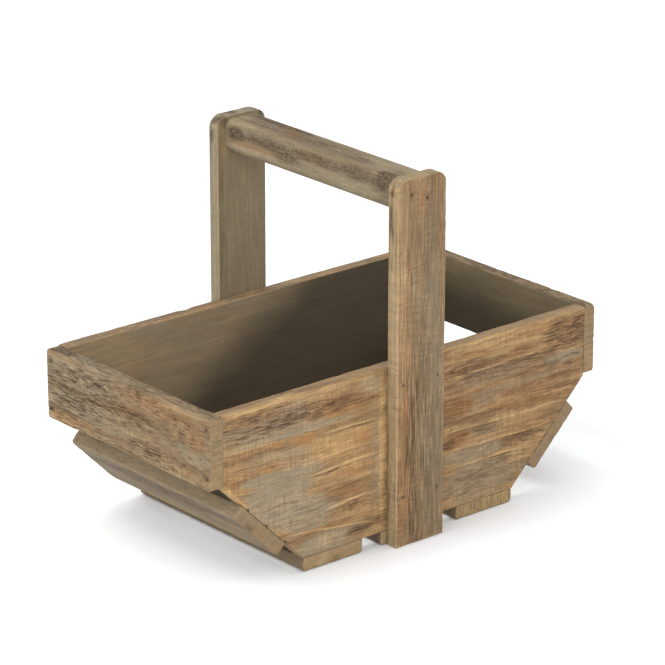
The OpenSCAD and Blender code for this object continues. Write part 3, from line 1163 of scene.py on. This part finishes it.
LEFT_END_CRACKS = cracks(
    (0.8, 0.5, (103, 112.6), (74, 113.4), (50, 109)), (0.8, 0.5, (103, 110), (80, 111), (58, 109.4)),
    (0.8, 0.5, (50, 112.5), (34, 113.8), (18, 112.4)),
    (0.7, 0.4, (95, 138.4), (75, 139), (59, 133), (55, 129.6)),
    (0.7, 0.4, (93, 134.6), (75, 135.2), (61, 129.8)), (0.7, 0.4, (96, 130.4), (74, 131.4), (58, 126.6)),
    (0.8, 0.5, (55, 137.4), (34, 142), (14, 145.4)),
    (0.8, 0.5, (53, 132.8), (36, 135), (28, 140.4), (16, 138.4)),
    (0.8, 0.5, (60, 124.2), (45, 125.2), (32, 130.4), (14, 132.8)),
    (0.8, 0.5, (26, 123.2), (3, 126.6), (-21, 125.8), (-40, 122)),
    (0.8, 0.5, (103, 125.2), (68, 124.2), (50, 121), (16, 121.8)),
    (0.7, 0.4, (90, 103), (72, 101.8), (58, 103)), (0.7, 0.4, (-75, 105.4), (-97, 101.6)),
    (0.7, 0.4, (-66, 121.6), (-98, 120.8)),
)
LEFT_END_STAINS = stains({
    BROWN: ((0.7, 92, 18, 150, 2.4, 194, 9), (0.45, 10, 70, 150, 2, 190, 4)),
    GREY: ((0.9, 40, 60, 150, 2.4, 194, 9),),
})
RIGHT_END_PATCHES = patches({
    GREY: ((-40, 136, 60, 9, 0.65), (60, 108, 44, 7, 0.7)),
    BROWN: ((50, 140, 50, 6, 0.65), (-50, 118, 50, 5, 0.7)),
    WARM: ((30, 124, 46, 6, 0.55), (-60, 102, 40, 5, 0.5)),
    CREAM: ((10, 96, 60, 3, 0.4),),
    ROUGH: ((-50, 122, 50, 14, 0.45),),
})
RIGHT_END_CRACKS = cracks(
    (0.8, 0.5, (-103, 114), (-70, 113), (-34, 115)), (0.7, 0.5, (30, 132), (60, 134), (90, 133)),
)
FRONT_POST_PATCHES = patches({
    WARM: ((78, -17, 100, 6, 0.75), (210, -18, 80, 5, 0.35), (284, -1, 12, 5, 0.55)),
    CREAM: ((262, -20, 60, 6, 0.55), (190, -20, 70, 4, 0.3)),
    BROWN: ((56, 0, 110, 26, 0.36), (76, -8, 100, 6, 0.5), (165, 2, 40, 9, 0.3), (250, 8, 40, 9, 0.22)),
    GREY: ((100, 12, 120, 13, 0.75), (215, 10, 60, 9, 0.6), (200, -6, 26, 5, 0.45)),
})
FRONT_POST_STREAKS = streaks(
    (0.6, 0.45, (40, -7.6), (90, -7.4), (140, -7.8)), (0.5, 0.45, (90, 1), (150, 1.3), (230, 1)),
    (0.5, 0.45, (10, 3), (70, 3.5), (120, 3)), (0.5, 0.4, (10, 14), (50, 14.5), (80, 15)),
    (0.5, 0.35, (180, -9), (230, -8.6), (270, -9)),
)
FRONT_POST_STAINS = stains({
    CREAM: (
        (0.75, 150, 170, -24.6, 1.4, 115.6, 1.6), (0.28, 150, 150, -25, 3, 111, 5),
        (0.5, 284, 6, -24, 3, 113.5, 2.4),
    ),
    BROWN: (
        (1.1, 294, 5, -24, 3.5, 108.5, 3), (0.8, 300, 4, -18, 4, 113, 2.4),
        (1.1, 270, 18, -25, 3, 108, 2.8), (0.55, 60, 60, -25, 3, 105, 1.8),
    ),
    WARM: ((0.9, 292, 9, -24, 5, 111, 4), (0.8, 262, 34, -25, 3, 109, 2.4)),
})
BACK_POST_PATCHES = patches({
    GREY: ((240, 4, 80, 18, 0.6), (70, -10, 60, 8, 0.5)),
    BROWN: ((120, -8, 90, 8, 0.5), (286, 0, 16, 18, 0.4), (30, 4, 40, 14, 0.35)),
    WARM: ((60, 12, 70, 8, 0.55),),
})
BACK_POST_STREAKS = streaks(
    (0.6, 0.45, (60, 10), (120, 9), (180, 10)), (0.6, 0.45, (130, -6), (190, -6.5), (250, -6)),
    (0.6, 0.45, (10, -14), (70, -13.5), (110, -14)),
)
BACK_POST_STAINS = stains({
    CREAM: ((0.42, 215, 80, -24.7, 1, 104.6, 1), (0.36, 284, 18, -20, 8, 104, 2)),
    BROWN: (
        (0.32, 215, 80, -21.6, 2.4, 104, 1.4), (1.7, 298, 6, -19, 7, 108, 9), (1.6, 302, 6, -5, 6, 112, 5),
        (1.1, 290, 9, -25, 3, 112, 3), (1.2, 301, 6, 20, 6, 107, 4),
    ),
    WARM: ((0.7, 262, 26, -21, 2.6, 104, 1.6),),
})
RAIL_STAINS = stains({
    BROWN: (
        (1.5, 92, 10.5, -16.5, 9, 292.4, 6.4), (0.4, 0, 100, -14, 9, 297, 4),
        # The broad brown over the rail's side next to the front post is painted shade where the rail meets
        # the post.
        (0.45, -92, 18, -16.5, 12, 288, 14), (1.05, 52, 42, -16.5, 9, 291.2, 5.4),
        (0.8, -20, 48, -16.5, 9, 293, 5), (0.68, -62, 26, -16.5, 9, 293.2, 5.4),
        (0.8, 28, 18, -16.5, 9, 285.4, 4.8), (2, -89, 12, -15.5, 9, 295.4, 7.5),
        (1.6, 60, 42, 7.5, 3, 301, 5), (0.55, 76, 40, 5, 9, 301, 6), (0.4, 0, 100, -4, 9, 301, 6),
        (0.52, 50, 60, -5, 5, 301, 6), (0.5, 14, 32, 0, 9, 301, 6), (0.42, -24, 34, 1, 9, 301, 6),
        (0.55, -50, 9, -3, 5, 301, 5), (0.5, -94, 12, -9, 9, 300, 5), (0.7, 30, 44, 16.5, 7, 290, 5),
        (0.6, -60, 26, 14, 8, 296, 5),
    ),
    WARM: (
        (0.4, 80, 20, -16.5, 9, 286.5, 3), (0.6, 66, 32, -17, 9, 284.6, 2.8),
        (0.35, -4, 22, -17, 9, 293, 4), (0.8, 40, 16, -1, 7, 301, 6), (0.5, -40, 40, 17, 6, 284, 3),
    ),
    CREAM: ((0.45, 62, 48, -17, 9, 281, 2.6), (0.3, 86, 22, -13, 6, 300, 3.5)),
})
LEFT_SLOPE_PATCHES = patches({
    BROWN: ((0, -16, 120, 12, 1.4), (10, -14, 90, 7, 0.8)),
    GREY: ((0, 14, 110, 12, 0.7),),
    CREAM: ((-20, 22, 90, 8, 0.35),),
    WARM: ((-60, 6, 44, 6, 0.4),),
# The cream and grey on the slat's upper narrow face are painted light, lifting the shade under the end
# board.
}) + stains({
    CREAM: ((0.22, 0, 200, -30.5, 3, 6, 12),),
    GREY: ((0.8, 0, 200, -30.5, 3, 6, 12),),
})
SLAT_PATCHES = patches({
    GREY: ((40, -12, 70, 10, 0.6), (-40, 20, 60, 7, 0.6)),
    BROWN: ((-20, 1, 90, 8, 0.95), (10, 6, 60, 5, 0.5), (-84, 6, 26, 12, 0.45), (60, -2, 40, 5, 0.45)),
    WARM: ((-70, -6, 36, 5, 0.5), (-60, 8, 44, 6, 0.5), (40, 14, 30, 4, 0.4)),
})


# The basket's parts

# The slats and end boards lie against the side boards this far out from their middles.
LAPPED = Joint(Side.INNER, 90.0)


def both_ways(half: float) -> Point:
    """The range that reaches as far below zero as above it."""
    return -half, half


@dataclass
class SideBoards:
    """The two long boards, cut on a slope at both ends."""

    half_length: float = 188.0
    foot_half_length: float = 110.0
    low: float = 12.0
    knee: float = 90.0
    rim: float = 150.0
    inner_face: float = 92.0
    outer_face: float = 104.0

    def _ends(self, height: Array) -> tuple[Array, Array]:
        """Where the board ends at each height."""
        part = np.clip((height - self.low) / (self.knee - self.low), 0.0, 1.0)
        reach = self.foot_half_length + part * (self.half_length - self.foot_half_length)
        return -reach, reach

    def build(self) -> Iterator[bpy.types.Object]:
        """Makes the front and the back board."""
        shared = dict(
            slot="side_wood",
            along=both_ways(self.half_length),
            across=(self.low, self.rim),
            through=(self.inner_face, self.outer_face),
            limits=self._ends,
            joints=(Joint(Side.ENDS), Joint(Side.LOW)),
            step_along=2.6,
            step_across=0.62,
        )
        front = Plank(
            node="front_side_board",
            axes=(X_AXIS, Z_AXIS, (0.0, -1.0, 0.0)),
            grain=Grain(seed=11, rough=0.22, inner_painted_shade=0.9, painted_shade_line=134.0),
            patches=FRONT_BOARD_PATCHES,
            streaks=FRONT_BOARD_STREAKS,
            cracks=FRONT_BOARD_CRACKS,
            swirls=(
                Swirl(170, 128, 16, 12, 2.6), Swirl(-135, 138, 26, 9, 1.2),
                Swirl(-75, 134, 34, 8, 1.4), Swirl(44, 57, 10, 14, 2),
            ),
            chips=(
                Chip(-184, 90, self.outer_face, 9, 1.6),
                Chip(-176, 82, self.outer_face, 7, 1.3),
                Chip(-171, 74, self.outer_face, 5, 1),
                Chip(-164.5, 66.5, self.outer_face, 2.6, 1.2, 0.9),
                Chip(-146.5, 48.5, self.outer_face, 2.4, 1.1, 0.8),
                Chip(-128, 30, self.outer_face, 2.6, 1.1, 0.8),
            ),
            **shared,
        )
        back = Plank(
            node="back_side_board",
            axes=(X_AXIS, Z_AXIS, Y_AXIS),
            grain=Grain(
                seed=23, rough=0.25, inner_grey=0.95, inner_painted_shade=0.9, painted_shade_line=152.0, painted_shade_rise=0.6,
                edge_brown=0.3, edge_grey=0.75,
            ),
            patches=BACK_BOARD_PATCHES,
            streaks=BACK_BOARD_STREAKS,
            cracks=BACK_BOARD_CRACKS,
            swirls=(Swirl(96, 120, 30, 12, 3), Swirl(-110, 84, 26, 10, 3)),
            chips=(
                Chip(150, 52, self.outer_face, 6, 1.2),
                Chip(-168, 70, self.outer_face, 5, 1),
                Chip(-60, 150, self.outer_face, 6, 0.8),
            ),
            **shared,
        )
        for board in (front, back):
            yield board.build(SIDE_WOOD)


@dataclass
class EndBoards:
    """The two short boards that close the ends over the side boards."""

    inner_face: float = 188.0
    outer_face: float = 200.0
    half_width: float = 104.0
    low: float = 90.0
    rim: float = 150.0
    corner: float = 5.0
    nail_out: float = 98.0
    nail_heights: Point = (100.0, 140.0)

    def _ends(self, height: Array) -> tuple[Array, Array]:
        """Where the board ends at each height, with its rounded corners."""
        edge = np.minimum(height - self.low, self.rim - height)
        into = np.clip(self.corner - edge, 0.0, self.corner)
        reach = self.half_width - (self.corner - np.sqrt(np.maximum(self.corner**2 - into**2, 0.0)))
        return -reach, reach

    def build(self) -> Iterator[bpy.types.Object]:
        """Makes the left and the right board."""
        pits = tuple(
            Pit(side * self.nail_out, height) for side in (-1, 1) for height in self.nail_heights
        )
        for name, sign, seed, stained, split, wild, painted_shade_line, edge_brown in (
            ("left", -1.0, 31, LEFT_END_PATCHES + LEFT_END_STAINS, LEFT_END_CRACKS, 40.0, 134.0, 0.35),
            ("right", 1.0, 37, RIGHT_END_PATCHES, RIGHT_END_CRACKS, -52.0, 162.0, 0.6),
        ):
            yield Plank(
                node=f"{name}_end_board",
                slot="end_wood",
                along=both_ways(self.half_width),
                across=(self.low, self.rim),
                through=(self.inner_face, self.outer_face),
                axes=(Y_AXIS, Z_AXIS, (sign, 0.0, 0.0)),
                limits=self._ends,
                grain=Grain(
                    seed=seed, rough=0.5, groove_depth=0.5, inner_painted_shade=0.9,
                    painted_shade_line=painted_shade_line, edge_brown=edge_brown,
                ),
                joints=(LAPPED,),
                pits=pits,
                patches=stained,
                cracks=split,
                knots=(Knot(wild - 2.0, 138.0, 1.8),),
                swirls=(
                    Swirl(wild, 138, 20, 8, 2.4),
                    Swirl(wild + 22, 130, 24, 8, 2.2),
                    Swirl(0, 122, 50, 20, 1.2),
                ),
                step_along=1.8,
                step_across=0.7,
            ).build(END_WOOD)


@dataclass
class Slats:
    """The three slats of the floor and the two that slope up to the end boards."""

    width: float = 61.0
    thickness: float = 12.0
    half_length: float = 104.0
    edge: float = 3.0
    gap_step: float = 79.5
    slope_middle: Point = (149.0, 51.0)
    nail_out: float = 98.0
    nail_side: float = 17.0

    def _slat(self, node: str, middle: float, grain: Grain, **own: object) -> Plank:
        """One slat, whose middle lies that far across, with its nail pits."""
        half = self.width / 2
        return Plank(
            node=node,
            slot="slat_wood",
            along=both_ways(self.half_length),
            across=(middle - half, middle + half),
            arris={Corner.LOW_OUTER: self.edge, Corner.HIGH_OUTER: self.edge},
            # The slats' inner faces take painted shade all over, since its line lies above them.
            grain=replace(
                grain, rough=0.2, groove_depth=0.3, heart_through=-40.0, painted_shade_line=400.0
            ),
            joints=(LAPPED,),
            pits=tuple(
                Pit(end * self.nail_out, middle + side * self.nail_side)
                for end in (-1, 1)
                for side in (-1, 1)
            ),
            step_along=2.4,
            step_across=0.9,
            **own,
        )

    def build(self) -> Iterator[bpy.types.Object]:
        """Makes all five slats."""
        for name, middle, seed, finish, along, turn in (
            ("left", -self.gap_step, 41, FLOOR_SLAT_WOOD, 0.0, 1.0),
            ("centre", 0.0, 43, FLOOR_SLAT_WOOD, 30.0, -1.0),
            ("right", self.gap_step, 47, CHECKED_SLAT_WOOD, 55.0, 1.0),
        ):
            yield self._slat(
                f"{name}_bottom_slat", middle, Grain(seed=seed, inner_painted_shade=0.84),
                through=(-self.thickness, 0.0),
                axes=(Y_AXIS, X_AXIS, (0.0, 0.0, -1.0)),
                patches=moved(SLAT_PATCHES, middle, along, turn),
            ).build(finish)
        slope = math.sqrt(0.5)
        for name, sign, seed, stained in (
            ("left", -1.0, 53, LEFT_SLOPE_PATCHES),
            ("right", 1.0, 59, moved(SLAT_PATCHES, 0.0, -20.0, -1.0)),
        ):
            yield self._slat(
                f"{name}_sloping_slat", 0.0, Grain(seed=seed, edge_grey=0.9, inner_painted_shade=0.82),
                through=(0.0, self.thickness),
                axes=(Y_AXIS, (-sign * slope, 0.0, -slope), (sign * slope, 0.0, -slope)),
                origin=(sign * self.slope_middle[0], 0.0, self.slope_middle[1]),
                patches=stained,
            ).build(SLAT_WOOD)


@dataclass
class Posts:
    """The two uprights, rounded at the top, nailed to the outside of the side boards."""

    half_width: float = 25.0
    height: float = 303.0
    inner_face: float = 104.0
    outer_face: float = 116.0
    corner: float = 10.0
    nail_side: float = 18.0
    nail_heights: Point = (42.0, 136.0)
    handle_nails: tuple[Point, Point] = ((-11.0, 289.5), (5.0, 284.5))

    def _ends(self, across: Array) -> tuple[Array, Array]:
        """The post's foot and its rounded top, at each place across it."""
        into = np.clip(np.abs(across) - (self.half_width - self.corner), 0.0, self.corner)
        drop = self.corner - np.sqrt(np.maximum(self.corner**2 - into**2, 0.0))
        return np.zeros_like(across), self.height - drop

    def build(self) -> Iterator[bpy.types.Object]:
        """Makes the front and the back post."""
        pits = [
            Pit(height, side * self.nail_side, 1.1, 1.35, 0.55)
            for height in self.nail_heights
            for side in (-1, 1)
        ]
        pits += [Pit(height, across, 1.3, 1.35, 0.85) for across, height in self.handle_nails]
        broken = Chip(self.height, -self.half_width, self.outer_face, 8, 1.2)
        for name, sign, seed, finish, stained, lined, chips in (
            ("front", -1.0, 61, POST_WOOD, FRONT_POST_PATCHES + FRONT_POST_STAINS,
             FRONT_POST_STREAKS, ()),
            ("back", 1.0, 67, BACK_POST_WOOD, BACK_POST_PATCHES + BACK_POST_STAINS,
             BACK_POST_STREAKS, (broken,)),
        ):
            yield Plank(
                node=f"{name}_post",
                slot="post_wood",
                along=(0.0, self.height),
                across=both_ways(self.half_width),
                through=(self.inner_face, self.outer_face),
                axes=(Z_AXIS, X_AXIS, (0.0, sign, 0.0)),
                limits=self._ends,
                grain=Grain(
                    seed=seed, rough=0.15, wander=2.0, edge_grey=0.3, edge_brown=0.0,
                    edge_plain=0.75, inner_calm=0.3,
                ),
                joints=(Joint(Side.INNER),),
                pits=tuple(pits),
                patches=stained,
                streaks=lined,
                chips=chips,
                step_along=2.4,
                step_across=0.6,
            ).build(finish)


@dataclass
class Rail:
    """The hand rail between the posts, with its well rounded section."""

    half_length: float = 104.0
    half_width: float = 17.0
    low: float = 273.0
    high: float = 301.0
    edge: float = 8.0

    def build(self) -> Iterator[bpy.types.Object]:
        """Makes the rail."""
        yield Plank(
            node="handle_rail",
            slot="rail_wood",
            along=both_ways(self.half_length),
            across=both_ways(self.half_width),
            through=(self.low, self.high),
            axes=(Y_AXIS, X_AXIS, Z_AXIS),
            arris={corner: self.edge for corner in Corner},
            end_arris=0.8,
            grain=Grain(
                seed=71, rough=0.2, heart_through=-12.0, heart_across=20.0, wander=2.0,
                arris_wear=0.2, edge_grey=0.4, edge_brown=0.0,
            ),
            joints=(Joint(Side.ENDS),),
            patches=RAIL_STAINS,
            step_along=1.8,
            step_across=0.7,
        ).build(RAIL_WOOD)


@dataclass
class Nails:
    """The nails keep their solids from the frame and get a rusty finish."""

    nodes: tuple[str, ...] = (
        "end_board_nails", "sloping_slat_nails", "bottom_slat_nails", "post_nails", "handle_nails",
    )

    def build(self) -> Iterator[bpy.types.Object]:
        """Dresses every nail."""
        steel = SteelFinish().material()
        for name in self.nodes:
            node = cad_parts[name]
            node.data.materials.clear()
            node.data.materials.append(steel)
            yield node


# The studio


@dataclass(frozen=True)
class Lamp:
    """One soft box, which lights either the basket or only the floor."""

    name: str
    place: Triple
    aim: Triple
    side: float
    power: float
    for_floor: bool = False


@dataclass
class Studio:
    """A pale floor, soft boxes and the camera at the photograph's angle."""

    floor_size: float = 40.0
    sky: float = 1.14
    azimuth: float = -40.38
    elevation: float = 20.12
    aim: Triple = (-0.0806, -0.104, 0.1915)
    distance: float = 2.786
    focal_pixels: float = 3658.0
    sensor: float = 36.0
    lamps: tuple[Lamp, ...] = (
        Lamp("key_box", (-2.30, -1.22, 2.28), (0.0, 0.0, 0.1), 2.2, 38.0),
        Lamp("fill_box", (1.39, -2.41, 2.05), (0.0, 0.0, 0.1), 2.4, 5.0),
        Lamp("floor_box", (-1.69, 0.36, 2.45), (0.0, 0.0, 0.0), 1.2, 36.0, for_floor=True),
    )

    def build(self) -> None:
        """Sets out the floor, the light and the camera."""
        self._light(self._floor())
        self._camera()
        view = bpy.context.scene.view_settings
        view.view_transform = "Standard"
        view.look = "None"

    def _floor(self) -> bpy.types.Object:
        """The floor, just under the basket."""
        half = self.floor_size / 2
        mesh = bpy.data.meshes.new("studio_floor")
        mesh.from_pydata(
            [(-half, -half, 0.0), (half, -half, 0.0), (half, half, 0.0), (-half, half, 0.0)],
            [],
            [(0, 1, 2, 3)],
        )
        mesh.materials.append(FloorFinish().material())
        floor = added("studio_floor", mesh)
        floor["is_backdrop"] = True
        return floor

    def _light(self, floor: bpy.types.Object) -> None:
        """The even light all round, and the soft boxes."""
        world = bpy.data.worlds.new("studio_sky")
        world.use_nodes = True
        back = world.node_tree.nodes["Background"]
        back.inputs["Color"].default_value = WHITE
        back.inputs["Strength"].default_value = self.sky
        bpy.context.scene.world = world
        for lamp in self.lamps:
            light = bpy.data.lights.new(lamp.name, "AREA")
            light.shape = "SQUARE"
            light.size = lamp.side
            light.energy = lamp.power
            holder = added(lamp.name, light)
            set_up(holder, Vector(lamp.place), Vector(lamp.aim) - Vector(lamp.place))
            lit = bpy.data.collections.new(f"lit_by_{lamp.name}")
            lit.objects.link(floor)
            state = "INCLUDE" if lamp.for_floor else "EXCLUDE"
            lit.collection_objects[0].light_linking.link_state = state
            holder.light_linking.receiver_collection = lit

    def _camera(self) -> None:
        """The camera where the photograph was taken from."""
        turn, rise = math.radians(self.azimuth), math.radians(self.elevation)
        back = Vector(
            (math.sin(turn) * math.cos(rise), -math.cos(turn) * math.cos(rise), math.sin(rise))
        )
        data = bpy.data.cameras.new("photo_camera")
        data.sensor_width = self.sensor
        data.lens = self.focal_pixels * self.sensor / PHOTO_SIDE
        data.clip_start, data.clip_end = 0.05, 100.0
        camera = added("photo_camera", data)
        set_up(camera, Vector(self.aim) + back * self.distance, -back)
        bpy.context.scene.camera = camera


def write_sizes() -> None:
    """Writes the frame's box and the dressed basket's box."""
    boxes = {"cad": CAD_BOX, "visual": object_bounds()}
    plain = {name: [list(corner) for corner in box] for name, box in boxes.items()}
    LOG.info("sizes: %s", plain)


def main() -> None:
    """Builds the basket piece by piece, then the studio."""
    logging.basicConfig(level=logging.INFO, format="%(name)s: %(message)s")
    for part in (SideBoards(), EndBoards(), Slats(), Posts(), Rail(), Nails()):
        for piece in part.build():
            LOG.info("%s made %s", type(part).__name__, piece.name)
    Studio().build()
    write_sizes()


if __name__ == "__main__":
    main()
